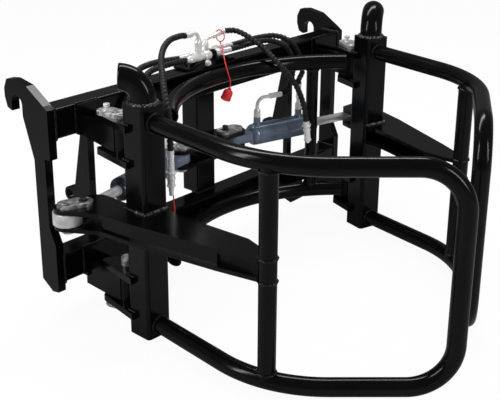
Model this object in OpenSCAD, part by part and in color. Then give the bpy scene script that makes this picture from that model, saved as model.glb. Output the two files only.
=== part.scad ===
// Hydraulic clamp for round bales, for the quick hitch of a front loader.
// Two arms swing on upright pins and are driven by one double-acting cylinder each.
// X runs to the right, Y runs to the rear (loader side), Z is up.
// The origin is on the floor, at mid width, in the plane of the beams' front faces.

/* [Frame] */
// Distance from the middle of the frame to the middle of each hitch plate
hitch_x = 544; // [530:1:560]
// Thickness of each hitch plate
hitch_t = 22; // [16:1:26]
// Height of the section of both cross beams
beam_h = 74; // [68:1:80]
// Front to rear depth of the section of both cross beams
beam_d = 60; // [56:1:66]
// Wall of the cross beams and of the centre post
beam_wall = 6; // [4:0.5:8]
// Height of the underside of the lower beam above the floor
low_beam_z = 94; // [88:1:98]
// Height of the underside of the upper beam above the floor
top_beam_z = 460; // [452:1:470]
// Radius of the seat in each hook, for the loader's cross bar
hook_r = 20; // [16:0.5:22]
// Distance of the hook seat behind the beams' front faces
hook_y = 113; // [108:1:118]
// Distance from the middle to the middle of each inner lock plate
lock_x = 385; // [370:1:400]
// Thickness of each inner lock plate
lock_t = 20; // [14:1:24]
// How far behind the beams' front faces the lock holes are
lock_y = 142; // [136:1:150]
// Radius of the lock hole in the ear of each inner plate
lock_hole_r = 12.5; // [9:0.5:14]
// Width of the centre post
centre_w = 70; // [60:1:76]
// Distance of the centre post's front face behind the beams' front faces
centre_y = 38; // [34:1:42]

/* [Bale rest] */
// Outer radius of the two curved rest tubes
rest_r = 21; // [18:0.5:24]
// Radius of the curve of the rest tubes at their middle line
rest_bend = 450; // [430:5:480]
// Half of the angle that each rest tube runs through
rest_half = 49; // [44:1:51]
// Outer radius of the upright strut between the rest tubes
strut_r = 16.5; // [12:0.5:18]
// Distance of the strut to the right of the middle
strut_x = 272; // [255:1:285]

/* [Hinges] */
// Distance from the middle to each arm's hinge line
pivot_x = 441; // [435:1:450]
// Distance of the hinge lines in front of the beams' front faces
pivot_out = 125; // [118:1:132]
// Radius of all hinge and cylinder pins
pin_r = 15; // [12:0.5:17]
// Radial clearance of every pin in its bore
pin_gap = 0.05; // [0.02:0.01:0.1]
// Outer radius of the hinge bosses on the frame
boss_r = 24; // [22:0.5:27]
// Thickness of the hinge ears on the arms
ear_t = 16; // [12:1:18]
// Gap between an ear and the boss beside it
ear_gap = 0.5; // [0.3:0.1:0.8]
// Height of the top of the upper boss
top_boss_z = 507.5; // [500:0.5:510]
// Length of the upper boss
top_boss_h = 67; // [60:1:72]
// Height of the bottom of the lower boss
low_boss_z = 59.5; // [55:0.5:64]
// Length of the lower boss
low_boss_h = 76; // [70:1:80]

/* [Arms] */
// Angle of the left arm in the pose shown, where a plus sign means closing
left_rest = -1.5; // [-10:0.5:8]
// Angle of the right arm in the pose shown, where a plus sign means closing
right_rest = 14.5; // [5:0.5:14.5]
// Width of the square post of each arm
post_w = 70; // [66:1:74]
// Wall of the post
post_wall = 6; // [4:0.5:8]
// Radius of the corners of the post
post_corner = 9; // [7:0.5:12]
// Height of the post
post_h = 572; // [565:1:585]
// Distance from the hinge line to the middle of the post
post_out = 76; // [72:1:80]
// Outer radius of the loop tube
loop_r = 21; // [18:0.5:23]
// Wall of the loop tube
loop_wall = 4; // [3:0.5:5]
// Height of the middle of the lower loop tube
loop_low_z = 32; // [28:1:36]
// Height of the middle of the upper loop tube
loop_top_z = 532; // [526:1:540]
// Length of the first straight of the loop, from the post
loop_run = 225; // [200:5:250]
// Angle by which the first straight points outward
loop_splay = 4.1; // [0:0.1:6]
// Radius of the wide bend of the loop
loop_bend = 305; // [280:5:330]
// Angle of the wide bend of the loop
loop_turn = 48; // [44:1:52]
// Length from the end of the wide bend to the middle of the end tube
loop_reach = 265; // [240:5:280]
// Radius of the two tight bends at the end of the loop
end_bend = 101; // [90:1:110]
// Outer radius of the upright brace inside the loop
brace_r = 20; // [16:0.5:22]
// Angle along the wide bend at which the brace stands
brace_at = 22.6; // [18:0.2:27]
// Outer radius of the horn on the post
horn_r = 30; // [26:0.5:32]
// Radius of the bend of the horn
horn_bend = 64; // [58:1:70]
// Wall of the horn
horn_wall = 4; // [3:0.5:5]

/* [Levers] */
// Height of the middle of the cylinders and levers
lever_z = 295; // [285:1:305]
// Thickness of each lever plate
lever_t = 10; // [8:0.5:12]
// Gap between the two lever plates
lever_gap = 32; // [31:0.5:34]
// Distance of the rod pin outward from the hinge line
eye_x = 122; // [118:1:126]
// Distance of the rod pin behind the hinge line
eye_y = 60; // [56:1:64]
// Radius of the lever plates round the rod pin
nose_r = 31; // [28:0.5:33]
// Thickness of the web between the lever plates
web_t = 10; // [8:0.5:12]

/* [Cylinders] */
// Distance from the middle to each cylinder's base pin
base_x = 105; // [100:1:112]
// Distance of the base pins behind the beams' front faces
base_y = 30; // [26:1:34]
// Outer radius of the barrel
barrel_r = 31; // [29:0.5:33]
// Bore radius of the barrel
bore_r = 25; // [23:0.5:26]
// Distance from the base pin to the barrel's closed end
barrel_start = 55; // [52:1:60]
// Distance from the base pin to the barrel's mouth
barrel_end = 270; // [262:1:276]
// Length of the gland's collar outside the barrel
gland_h = 22; // [16:1:26]
// Length of the gland's spigot inside the barrel
gland_spigot = 25; // [20:1:30]
// Radius of the rod
rod_r = 15; // [12:0.5:15]
// Length of the rod, from its inner end to the middle of its eye
rod_length = 300; // [290:1:305]
// Outer radius of the rod eye
eye_r = 34.5; // [33:0.5:35.5]
// Radius of the hole in the rod eye
eye_hole_r = 24.6; // [24.2:0.1:25.5]
// Height of the rod eye and of the base eye
eye_h = 31; // [30.5:0.1:31.4]
// Thickness of the piston
piston_h = 30; // [20:1:36]

/* [Hydraulics] */
// Radius of the supply hoses
supply_r = 7; // [5:0.5:8]
// Radius of the hoses to the cylinders
hose_r = 6.5; // [5:0.5:7.5]
// Radius of the body of the quick couplers
coupler_r = 11; // [9:0.5:13]
// Radius of the red cords
cord_r = 1.5; // [1.5:0.25:2]
// Outer radius of the dust cap
cap_r = 13; // [11:0.5:14]

/* [Hidden] */

$fn = 48;
lap = 1;
hair = 0.05;
black = "#17181a";
galvanised = "#b9bcbd";
blue_grey = "#6d7f93";
top_beam_top = top_beam_z + beam_h;
low_beam_top = low_beam_z + beam_h;
top_ear_z = top_boss_z + ear_gap;
mid_ear_z = top_boss_z - top_boss_h - ear_gap - ear_t;
low_ear_top_z = low_boss_z + low_boss_h + ear_gap;
low_ear_z = low_boss_z - ear_gap - ear_t;
flag_t = 8;
upper_plate_z = lever_z + lever_gap / 2;
lower_plate_z = lever_z - lever_gap / 2 - lever_t;

// Place of a point of the left arm's own plan, p, when the arm stands at angle a
function turned(a, p) = [p.x * cos(a) - p.y * sin(a), p.x * sin(a) + p.y * cos(a)];
function rod_pin(a) = [-pivot_x, -pivot_out] + turned(a, [-eye_x, eye_y]);
function reach(a) = rod_pin(a) - [-base_x, base_y];

// Heading of the loop after turning through t, its wide bend's centre and a point on that bend
function heading(t) = t - loop_splay;
bend_start = [-loop_run * sin(loop_splay), -post_out - post_w / 2 - loop_run * cos(loop_splay)];
bend_centre = bend_start + loop_bend * [cos(loop_splay), -sin(loop_splay)];
function on_bend(t) = bend_centre - loop_bend * [cos(heading(t)), sin(heading(t))];
brace_place = on_bend(brace_at);
rest_z = [low_beam_z + beam_h / 2, top_beam_z + beam_h / 2 + 13];

module rounded_rectangle(w, d, r) {
    square([w - 2 * r, d], center = true);
    square([w, d - 2 * r], center = true);
    for (sx = [-1, 1])
        for (sy = [-1, 1])
            translate([sx * (w / 2 - r), sy * (d / 2 - r)])
                circle(r);
}

module tube_section(w, d, r, wall) {
    difference() {
        rounded_rectangle(w, d, r);
        rounded_rectangle(w - 2 * wall, d - 2 * wall, max(r - wall, 1));
    }
}

// Round-ended bar in plan, from point a to point b
module round_bar(a, b, r) {
    way = b - a;
    translate(a)
        circle(r);
    translate(b)
        circle(r);
    translate(a)
        rotate(atan2(way.y, way.x))
            translate([0, hair - r])
                square([norm(way), 2 * (r - hair)]);
}

module cross_beam(z) {
    translate([-hitch_x + hitch_t / 2, beam_d / 2, z + beam_h / 2])
        rotate([90, 0, 90])
            linear_extrude(2 * hitch_x - hitch_t)
                tube_section(beam_d, beam_h, 6, beam_wall);
}

module upper_beam() {
    color(black)
        cross_beam(top_beam_z);
}

module lower_beam() {
    color(black)
        cross_beam(low_beam_z);
}

// Side view of a hitch plate: first number to the rear, second number up
module hitch_profile() {
    difference() {
        polygon([
            [0, low_beam_z - 20], [0, low_beam_top + 30], [20, low_beam_top + 72],
            [20, top_beam_z - 46], [0, top_beam_z - 46], [0, top_beam_top],
            [12, top_beam_top + 9], [72, top_beam_top + 45], [hook_y + 9, top_beam_top + 53],
            [hook_y + 35, top_beam_top + 49], [hook_y + 46, top_beam_top + 26],
            [hook_y + 46, top_beam_top + 4], [hook_y + 38, top_beam_top - 20],
            [hook_y + hook_r + 5, top_beam_top - 25], [hook_y - hook_r, top_beam_top - 32],
            [beam_d, top_beam_z - 57], [beam_d, low_beam_z], [23, low_beam_z - 24]
        ]);
        translate([hook_y, top_beam_top - 5])
            circle(hook_r);
        translate([hook_y - hook_r, top_beam_top - 45])
            square([2 * hook_r, 40]);
    }
}

module hitch_plate(x) {
    color(black)
        translate([x - hitch_t / 2, 0, 0])
            rotate([90, 0, 90])
                linear_extrude(hitch_t)
                    hitch_profile();
}

module left_hitch_plate() {
    hitch_plate(-hitch_x);
}

module right_hitch_plate() {
    hitch_plate(hitch_x);
}

// Side view of an inner plate, which stands behind both beams and carries the lock ear
module lock_profile(ear_z) {
    polygon([
        [beam_d, top_beam_top - 4], [beam_d + 4, top_beam_top - 4], [beam_d + 58, ear_z + 36],
        [beam_d + 62, ear_z + 22], [lock_y, ear_z + lock_hole_r + 4], [lock_y, ear_z - lock_hole_r - 4],
        [beam_d + 16, ear_z - 20], [beam_d + 16, 22], [41, 12], [12, 33], [12, low_beam_z], [beam_d, low_beam_z]
    ]);
}

// The plate stands on edge, and its ear for the lock pin is a round boss of the same thickness
module inner_plate(x) {
    ear_z = low_beam_top + 78;
    color(black)
        translate([x - lock_t / 2, 0, 0])
            rotate([90, 0, 90])
                difference() {
                    union() {
                        linear_extrude(lock_t)
                            lock_profile(ear_z);
                        translate([lock_y, ear_z, 0])
                            cylinder(h = lock_t, r = lock_hole_r + 7.5);
                    }
                    translate([lock_y, ear_z, -lap])
                        cylinder(h = lock_t + 2 * lap, r = lock_hole_r);
                }
}

module left_inner_plate() {
    inner_plate(-lock_x);
}

module right_inner_plate() {
    inner_plate(lock_x);
}

module centre_section() {
    translate([0, centre_y + beam_d / 2])
        square([centre_w, beam_d], center = true);
}

module centre_post() {
    color(black)
        translate([0, centre_y + beam_d / 2, low_beam_top])
            linear_extrude(top_beam_z - low_beam_top)
                tube_section(centre_w, beam_d, 6, beam_wall);
}

// The two plates that hold both cylinders' base pins
module clevis_plate(z) {
    translate([0, 0, z])
        linear_extrude(lever_t)
            difference() {
                union() {
                    for (side = [-1, 1])
                        translate([side * base_x, base_y])
                            circle(30);
                    polygon([
                        [-base_x, base_y - 30], [base_x, base_y - 30], [base_x, base_y + 30],
                        [centre_w / 2 + 20, centre_y + 44], [-centre_w / 2 - 20, centre_y + 44], [-base_x, base_y + 30]
                    ]);
                }
                centre_section();
                for (side = [-1, 1])
                    translate([side * base_x, base_y])
                        circle(pin_r + pin_gap);
            }
}

module clevis_plates() {
    color(black) {
        clevis_plate(upper_plate_z);
        clevis_plate(lower_plate_z);
    }
}

// Solid of a curved rest tube; inner is the radius that is left open
module rest_arc(z, r) {
    translate([0, -rest_r - rest_bend, z])
        rotate([0, 0, 90 - rest_half])
            rotate_extrude(angle = 2 * rest_half, $fn = 96)
                translate([rest_bend, 0])
                    circle(r, $fn = 32);
}

module rest_tube(z) {
    color(black)
        difference() {
            rest_arc(z, rest_r);
            rest_arc(z, rest_r - 4);
        }
}

module upper_rest_tube() {
    rest_tube(rest_z[1]);
}

module lower_rest_tube() {
    rest_tube(rest_z[0]);
}

module rest_strut() {
    color(black)
        difference() {
            translate([strut_x, -rest_r - rest_bend + sqrt(rest_bend * rest_bend - strut_x * strut_x), rest_z[0]])
                cylinder(h = rest_z[1] - rest_z[0], r = strut_r);
            rest_arc(rest_z[0], rest_r);
            rest_arc(rest_z[1], rest_r);
        }
}

// A hinge bracket: pad on the beam, two cheeks, and the boss; z0 to z1 is the boss
module bracket(beam_z, z0, z1, cheek_z0, cheek_z1) {
    color(black)
        difference() {
            union() {
                translate([-pivot_x - 33, -12, max(beam_z, cheek_z0)])
                    cube([66, 12, beam_z + beam_h - max(beam_z, cheek_z0)]);
                for (x = [-26, 14])
                    translate([-pivot_x + x, 0, 0])
                        rotate([90, 0, 90])
                            linear_extrude(12)
                                polygon([
                                    [-pivot_out, z0 + 2], [-pivot_out, z1 - 2],
                                    [0, cheek_z1], [0, cheek_z0]
                                ]);
                translate([-pivot_x, -pivot_out, z0])
                    cylinder(h = z1 - z0, r = boss_r);
            }
            translate([-pivot_x, -pivot_out, z0 - 1])
                cylinder(h = z1 - z0 + 2, r = pin_r + pin_gap);
        }
}

module upper_bracket() {
    bracket(top_beam_z, top_boss_z - top_boss_h, top_boss_z, top_beam_z, top_boss_z - 2);
}

module lower_bracket() {
    bracket(low_beam_z, low_boss_z, low_boss_z + low_boss_h, low_beam_z - 26, low_boss_z + low_boss_h - 2);
}

module left_upper_bracket() {
    upper_bracket();
}

module right_upper_bracket() {
    mirror([1, 0, 0])
        upper_bracket();
}

module left_lower_bracket() {
    lower_bracket();
}

module right_lower_bracket() {
    mirror([1, 0, 0])
        lower_bracket();
}

// A pin that runs from its free end into the middle of a flag plate; way is the flag's run in plan
module flag_pin(free_z, flag_z, way) {
    root_z = flag_z + flag_t / 2;
    translate([0, 0, min(free_z, root_z)])
        cylinder(h = abs(root_z - free_z), r = pin_r);
    translate([0, 0, flag_z])
        linear_extrude(flag_t)
            round_bar([0, 0], way, 23);
}

module base_pins() {
    color(galvanised)
        for (side = [-1, 1])
            translate([side * base_x, base_y, 0])
                flag_pin(lower_plate_z - 12, upper_plate_z + lever_t, [-side * 38, 2]);
}

module left_arm() {
    translate([-pivot_x, -pivot_out, 0])
        rotate([0, 0, left_rest])
            children();
}

module right_arm() {
    mirror([1, 0, 0])
        translate([-pivot_x, -pivot_out, 0])
            rotate([0, 0, right_rest])
                children();
}

module post_block() {
    translate([0, -post_out])
        rounded_rectangle(post_w, post_w, post_corner);
}

module post() {
    color(black)
        difference() {
            linear_extrude(post_h)
                post_block();
            translate([0, 0, -1])
                linear_extrude(post_h - post_wall + 1)
                    translate([0, -post_out])
                        rounded_rectangle(post_w - 2 * post_wall, post_w - 2 * post_wall, post_corner - post_wall);
        }
}

module horn_bow(r, spare) {
    translate([0, -post_out, post_h])
        rotate([0, 0, 135])
            translate([horn_bend, 0, 0])
                rotate([90, 0, 0])
                    rotate([0, 0, 90 - spare])
                        rotate_extrude(angle = 90 + 2 * spare, $fn = 64)
                            translate([horn_bend, 0])
                                circle(r, $fn = 40);
}

module horn() {
    color(black)
        difference() {
            horn_bow(horn_r, 0);
            horn_bow(horn_r - horn_wall, 1);
        }
}

module loop_straight(start, h, length, r) {
    translate(start)
        rotate([0, 0, h])
            rotate([90, 0, 0])
                cylinder(h = length, r = r, $fn = 40);
}

// Long part of a loop tube at the height of its middle, as a solid of radius r.
// The straights lap the wide bend by a little and the bend is a hair thinner.
module loop_side(z, r) {
    first = bend_start - (loop_run + 10) * [-sin(loop_splay), -cos(loop_splay)];
    last = on_bend(loop_turn) - lap * [sin(heading(loop_turn)), -cos(heading(loop_turn))];
    translate([0, 0, z]) {
        loop_straight([first.x, first.y, 0], -loop_splay, loop_run + 10 + lap, r);
        translate([bend_centre.x, bend_centre.y, 0])
            rotate([0, 0, 180 - loop_splay])
                rotate_extrude(angle = loop_turn, $fn = 96)
                    translate([loop_bend, 0])
                        circle(r - hair, $fn = 40);
        loop_straight([last.x, last.y, 0], heading(loop_turn), loop_reach - end_bend + lap, r);
    }
}

module loop_side_tube(z) {
    color(black)
        difference() {
            loop_side(z, loop_r);
            loop_side(z, loop_r - loop_wall);
            translate([0, 0, z - 2 * loop_r])
                linear_extrude(4 * loop_r)
                    post_block();
        }
}

module loop_top() {
    loop_side_tube(loop_top_z);
}

module loop_bottom() {
    loop_side_tube(loop_low_z);
}

// End of the loop as a solid of radius r: tight bend, upright tube, tight bend
module end_hoop(r) {
    translate([on_bend(loop_turn).x, on_bend(loop_turn).y, 0])
        rotate([0, 0, heading(loop_turn) - 90])
            translate([loop_reach, 0, 0]) {
                translate([0, 0, loop_low_z + end_bend])
                    cylinder(h = loop_top_z - loop_low_z - 2 * end_bend, r = r, $fn = 40);
                translate([-end_bend, 0, loop_low_z + end_bend])
                    rotate([90, 0, 0])
                        rotate([0, 0, -90])
                            rotate_extrude(angle = 90, $fn = 64)
                                translate([end_bend, 0])
                                    circle(r, $fn = 40);
                translate([-end_bend, 0, loop_top_z - end_bend])
                    rotate([90, 0, 0])
                        rotate_extrude(angle = 90, $fn = 64)
                            translate([end_bend, 0])
                                circle(r, $fn = 40);
            }
}

module loop_end() {
    color(black)
        difference() {
            end_hoop(loop_r);
            end_hoop(loop_r - loop_wall);
        }
}

module brace() {
    color(black)
        difference() {
            translate([brace_place.x, brace_place.y, loop_low_z])
                cylinder(h = loop_top_z - loop_low_z, r = brace_r);
            loop_side(loop_low_z, loop_r);
            loop_side(loop_top_z, loop_r);
        }
}

// Plan of a lever plate, in the arm's own plan
module lever_outline() {
    difference() {
        union() {
            translate([-eye_x, eye_y])
                circle(nose_r);
            polygon([
                [-eye_x - 26, eye_y - 17], [-100, -28], [-90, -post_out - 37], [-70, -post_out - 138],
                [-45, -post_out - 267], [brace_place.x - 20, brace_place.y + 12], [brace_place.x, brace_place.y],
                [brace_place.x + 18, brace_place.y + 8], [40, -post_out - 284], [27, -post_out - 138],
                [25, -post_out - 69], [post_w / 2, -post_out - post_w / 2], [0, -post_out],
                [-15, -post_out + post_w / 2], [-15, 25], [-18, 55], [-31, 72], [-48, 77],
                [-eye_x + 10, eye_y + 29]
            ]);
        }
        post_block();
        translate(brace_place)
            circle(brace_r);
        translate([-eye_x, eye_y])
            circle(pin_r + pin_gap);
    }
}

module lever_plates() {
    color(black)
        for (z = [upper_plate_z, lower_plate_z])
            translate([0, 0, z])
                linear_extrude(lever_t)
                    lever_outline();
}

module lever_web() {
    color(black)
        translate([0, 0, lever_z - lever_gap / 2])
            linear_extrude(lever_gap)
                difference() {
                    polygon([
                        [-92, -28], [-82, -post_out - 37], [-62, -post_out - 138], [-38, -post_out - 267],
                        [-38 + web_t, -post_out - 267], [-62 + web_t, -post_out - 138],
                        [-82 + web_t, -post_out - 37], [-92 + web_t, -28]
                    ]);
                    post_block();
                }
}

module ear(z) {
    translate([0, 0, z])
        linear_extrude(ear_t)
            difference() {
                polygon([
                    [-28, 60], [-20, 66], [6, 54], [40, 16], [post_w / 2 + 12, 10 - post_out],
                    [-post_w / 2 - 12, 10 - post_out]
                ]);
                post_block();
                circle(pin_r + pin_gap);
            }
}

module hinge_ears() {
    color(black)
        for (z = [top_ear_z, mid_ear_z, low_ear_top_z, low_ear_z])
            ear(z);
}

module flag_pins() {
    color(galvanised) {
        flag_pin(mid_ear_z - 6, top_ear_z + ear_t, [-10, 40]);
        flag_pin(low_ear_top_z + ear_t + 18, low_ear_z - flag_t, [-10, 40]);
        translate([-eye_x, eye_y, 0])
            flag_pin(lower_plate_z - 12, upper_plate_z + lever_t, [36, -14]);
    }
}

module left_post() {
    left_arm()
        post();
}

module right_post() {
    right_arm()
        post();
}

module left_horn() {
    left_arm()
        horn();
}

module right_horn() {
    right_arm()
        horn();
}

module left_loop_top() {
    left_arm()
        loop_top();
}

module right_loop_top() {
    right_arm()
        loop_top();
}

module left_loop_end() {
    left_arm()
        loop_end();
}

module right_loop_end() {
    right_arm()
        loop_end();
}

module left_loop_bottom() {
    left_arm()
        loop_bottom();
}

module right_loop_bottom() {
    right_arm()
        loop_bottom();
}

module left_brace() {
    left_arm()
        brace();
}

module right_brace() {
    right_arm()
        brace();
}

module left_lever_plates() {
    left_arm()
        lever_plates();
}

module right_lever_plates() {
    right_arm()
        lever_plates();
}

module left_lever_web() {
    left_arm()
        lever_web();
}

module right_lever_web() {
    right_arm()
        lever_web();
}

module left_hinge_ears() {
    left_arm()
        hinge_ears();
}

module right_hinge_ears() {
    right_arm()
        hinge_ears();
}

module left_flag_pins() {
    left_arm()
        flag_pins();
}

module right_flag_pins() {
    right_arm()
        flag_pins();
}

// Puts a cylinder that is drawn along X from its base pin into the left place, for arm angle a
module cylinder_place(a) {
    translate([-base_x, base_y, lever_z])
        rotate([0, 0, atan2(reach(a).y, reach(a).x)])
            children();
}

module along(start, length, r) {
    translate([start, 0, 0])
        rotate([0, 90, 0])
            cylinder(h = length, r = r);
}

module barrel() {
    color(blue_grey)
        difference() {
            union() {
                translate([0, 0, -eye_h / 2])
                    cylinder(h = eye_h, r = 24);
                translate([0, -20, -eye_h / 2])
                    cube([barrel_start + 5, 40, eye_h]);
                along(barrel_start, barrel_end - barrel_start, barrel_r);
                for (x = [barrel_start + 22, barrel_end - 50])
                    translate([x, 0, 0])
                        cylinder(h = barrel_r + 20, r = 10);
            }
            translate([0, 0, -eye_h])
                cylinder(h = 2 * eye_h, r = pin_r + pin_gap);
            along(barrel_start + 10, barrel_end, bore_r);
            for (x = [barrel_start + 22, barrel_end - 50])
                translate([x, 0, 0])
                    cylinder(h = 100, r = 5);
        }
}

module gland() {
    color("#2c333b")
        difference() {
            union() {
                along(barrel_end, gland_h, barrel_r);
                along(barrel_end - gland_spigot, gland_spigot, bore_r - pin_gap);
            }
            along(barrel_end - gland_spigot - 1, gland_spigot + gland_h + 2, rod_r + pin_gap);
        }
}

module rod(a) {
    pins = norm(reach(a));
    color("#d4d7da")
        difference() {
            union() {
                along(pins - rod_length, rod_length - eye_r + 4, rod_r);
                translate([pins, 0, -eye_h / 2])
                    cylinder(h = eye_h, r = eye_r);
            }
            translate([pins, 0, -eye_h])
                cylinder(h = 2 * eye_h, r = eye_hole_r);
        }
}

module piston(a) {
    color("#8d9194")
        difference() {
            along(norm(reach(a)) - rod_length, piston_h, bore_r - pin_gap);
            along(norm(reach(a)) - rod_length - 1, piston_h + 2, rod_r + pin_gap);
        }
}

module left_barrel() {
    cylinder_place(left_rest)
        barrel();
}

module left_gland() {
    cylinder_place(left_rest)
        gland();
}

module left_rod() {
    cylinder_place(left_rest)
        rod(left_rest);
}

module left_piston() {
    cylinder_place(left_rest)
        piston(left_rest);
}

module right_barrel() {
    mirror([1, 0, 0])
        cylinder_place(right_rest)
            barrel();
}

module right_gland() {
    mirror([1, 0, 0])
        cylinder_place(right_rest)
            gland();
}

module right_rod() {
    mirror([1, 0, 0])
        cylinder_place(right_rest)
            rod(right_rest);
}

module right_piston() {
    mirror([1, 0, 0])
        cylinder_place(right_rest)
            piston(right_rest);
}

upper_beam();
lower_beam();
left_hitch_plate();
right_hitch_plate();
left_inner_plate();
right_inner_plate();
centre_post();
clevis_plates();
upper_rest_tube();
lower_rest_tube();
rest_strut();
left_upper_bracket();
right_upper_bracket();
left_lower_bracket();
right_lower_bracket();
base_pins();
left_post();
left_horn();
left_loop_top();
left_loop_end();
left_loop_bottom();
left_brace();
left_lever_plates();
left_lever_web();
left_hinge_ears();
left_flag_pins();
right_post();
right_horn();
right_loop_top();
right_loop_end();
right_loop_bottom();
right_brace();
right_lever_plates();
right_lever_web();
right_hinge_ears();
right_flag_pins();
left_barrel();
left_gland();
left_rod();
left_piston();
right_barrel();
right_gland();
right_rod();
right_piston();
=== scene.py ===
import math

import bpy
import bmesh
from mathutils import Euler, Matrix, Vector


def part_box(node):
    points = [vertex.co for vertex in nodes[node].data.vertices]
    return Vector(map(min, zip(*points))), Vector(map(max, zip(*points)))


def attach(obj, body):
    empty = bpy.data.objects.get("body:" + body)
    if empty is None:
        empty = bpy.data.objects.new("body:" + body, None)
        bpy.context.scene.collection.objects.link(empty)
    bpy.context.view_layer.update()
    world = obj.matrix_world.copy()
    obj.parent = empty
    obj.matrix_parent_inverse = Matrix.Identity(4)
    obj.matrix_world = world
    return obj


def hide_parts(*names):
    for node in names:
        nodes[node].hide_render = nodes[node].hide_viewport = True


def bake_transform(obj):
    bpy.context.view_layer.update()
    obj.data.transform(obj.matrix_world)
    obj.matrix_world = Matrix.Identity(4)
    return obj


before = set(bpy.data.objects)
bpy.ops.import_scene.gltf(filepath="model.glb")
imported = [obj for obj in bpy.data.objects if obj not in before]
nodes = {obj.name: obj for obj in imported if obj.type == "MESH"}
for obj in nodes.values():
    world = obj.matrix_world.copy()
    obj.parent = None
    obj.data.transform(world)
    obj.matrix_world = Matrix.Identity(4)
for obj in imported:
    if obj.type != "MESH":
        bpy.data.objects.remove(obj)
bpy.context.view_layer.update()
scene = bpy.context.scene
scene.view_settings.view_transform = "Standard"


# Studio. A pale floor and backdrop, three soft lights and the camera at the
# photograph's place and angle. The picture's middle is off the lens axis.
CAMERA_PLACE = (-1.872, -1.792, 1.227)
LOOK_DOWN = 20.349
LOOK_TURN = -48.284
LOOK_ROLL = 0.33
FLOOR_SIZE = 14
FLOOR_DROP = 0.0006
FLOOR_SEEN = 0.94
SKY_ON_PIECES = 0.62
SKY_SEEN_MORE = 0.38
SKY_GLOSS_LESS = 0.50

camera_data = bpy.data.cameras.new("camera")
camera_data.lens = 72.52
camera_data.sensor_width = 36.0
camera_data.shift_y = -0.08
camera_data.clip_end = 50.0
camera = bpy.data.objects.new("camera", camera_data)
scene.collection.objects.link(camera)
turn = Euler((math.radians(90 - LOOK_DOWN), 0.0, math.radians(LOOK_TURN))).to_matrix()
roll = Matrix.Rotation(math.radians(LOOK_ROLL), 3, "Z")
camera.matrix_world = Matrix.Translation(CAMERA_PLACE) @ (turn @ roll).to_4x4()
scene.camera = camera


def soft_light(name, place, aim, size, power):
    data = bpy.data.lights.new(name, "AREA")
    data.shape = "RECTANGLE"
    data.size = size[0]
    data.size_y = size[1]
    data.energy = power
    lamp = bpy.data.objects.new(name, data)
    lamp.location = place
    lamp.rotation_euler = (Vector(aim) - Vector(place)).to_track_quat("-Z", "Y").to_euler()
    scene.collection.objects.link(lamp)


soft_light("overhead", (0.5, 0.5, 2.7), (0.0, -0.3, 0.3), (2.8, 0.42), 44)
soft_light("left_window", (-2.7, 0.7, 1.7), (0.0, -0.2, 0.3), (0.40, 1.9), 30)
soft_light("front_window", (0.4, -3.2, 1.5), (0.0, -0.2, 0.3), (0.26, 1.6), 20)


class Shade:
    """One value in a material's nodes. Sums and products on it add Math nodes."""

    def __init__(self, tree, socket=None):
        self.tree = tree
        self.socket = socket

    def node(self, kind, settings, values, out=0):
        made = self.tree.nodes.new(kind)
        for name, value in settings.items():
            if name == "stops":
                ramp = made.color_ramp.elements
                while len(ramp) < len(value):
                    ramp.new(0.5)
                for element, (place, tint) in zip(ramp, value):
                    element.position = place
                    element.color = (*tint, 1.0)
            else:
                setattr(made, name, value)
        for name, value in values.items():
            if isinstance(value, Shade):
                self.tree.links.new(value.socket, made.inputs[name])
            else:
                made.inputs[name].default_value = value
        return Shade(self.tree, made.outputs[out])

    def calculate(self, operation, first, second):
        return self.node("ShaderNodeMath", {"operation": operation}, {0: first, 1: second})

    def __add__(self, other):
        return self.calculate("ADD", self, other)

    __radd__ = __add__

    def __sub__(self, other):
        return self.calculate("SUBTRACT", self, other)

    def __rsub__(self, other):
        return self.calculate("SUBTRACT", other, self)

    def __mul__(self, other):
        return self.calculate("MULTIPLY", self, other)

    __rmul__ = __mul__


def new_material(name):
    material = bpy.data.materials.new(name)
    material.use_nodes = True
    material.node_tree.nodes.clear()
    return material, Shade(material.node_tree)


def finish_material(material, shader):
    output = material.node_tree.nodes.new("ShaderNodeOutputMaterial")
    material.node_tree.links.new(shader.socket, output.inputs["Surface"])
    return material


def ramp(value, stops):
    """Colour that follows a value, from (place, colour) stops."""
    return value.node("ShaderNodeValToRGB", {"stops": stops}, {"Fac": value})


def bumps(height, strength, distance):
    return height.node("ShaderNodeBump", {}, {"Height": height, "Strength": strength, "Distance": distance})


world = bpy.data.worlds.new("studio")
scene.world = world
world.use_nodes = True
world.node_tree.nodes.clear()
air = Shade(world.node_tree)
seen = air.node("ShaderNodeLightPath", {}, {}, "Is Camera Ray")
glossy = air.node("ShaderNodeLightPath", {}, {}, "Is Glossy Ray")
through = air.node("ShaderNodeLightPath", {}, {}, "Is Transmission Ray")
direct = air.calculate("MINIMUM", seen + through, 1.0)
strength = SKY_ON_PIECES + direct * SKY_SEEN_MORE - glossy * SKY_GLOSS_LESS
glow = air.node("ShaderNodeBackground", {}, {"Color": (1, 1, 1, 1), "Strength": strength})
sky = world.node_tree.nodes.new("ShaderNodeOutputWorld")
world.node_tree.links.new(glow.socket, sky.inputs["Surface"])

bpy.ops.mesh.primitive_plane_add(size=FLOOR_SIZE, location=(0, 0, -FLOOR_DROP))
floor = bpy.context.object
floor.name = "studio_floor"
pale, air = new_material("pale_floor")
seen = air.node("ShaderNodeLightPath", {}, {}, "Is Camera Ray")
glossy = air.node("ShaderNodeLightPath", {}, {}, "Is Glossy Ray")
tint = ramp(glossy, [(0.0, (0.9, 0.9, 0.9)), (1.0, (0.3, 0.3, 0.3))])
cloth = air.node("ShaderNodeBsdfPrincipled", {}, {"Base Color": tint, "Roughness": 0.8})
shine = air.node("ShaderNodeEmission", {}, {"Color": (1, 1, 1, 1), "Strength": 1.0})
backdrop = air.node("ShaderNodeMixShader", {}, {0: seen * FLOOR_SEEN, 1: cloth, 2: shine})
floor.data.materials.append(finish_material(pale, backdrop))


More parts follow.
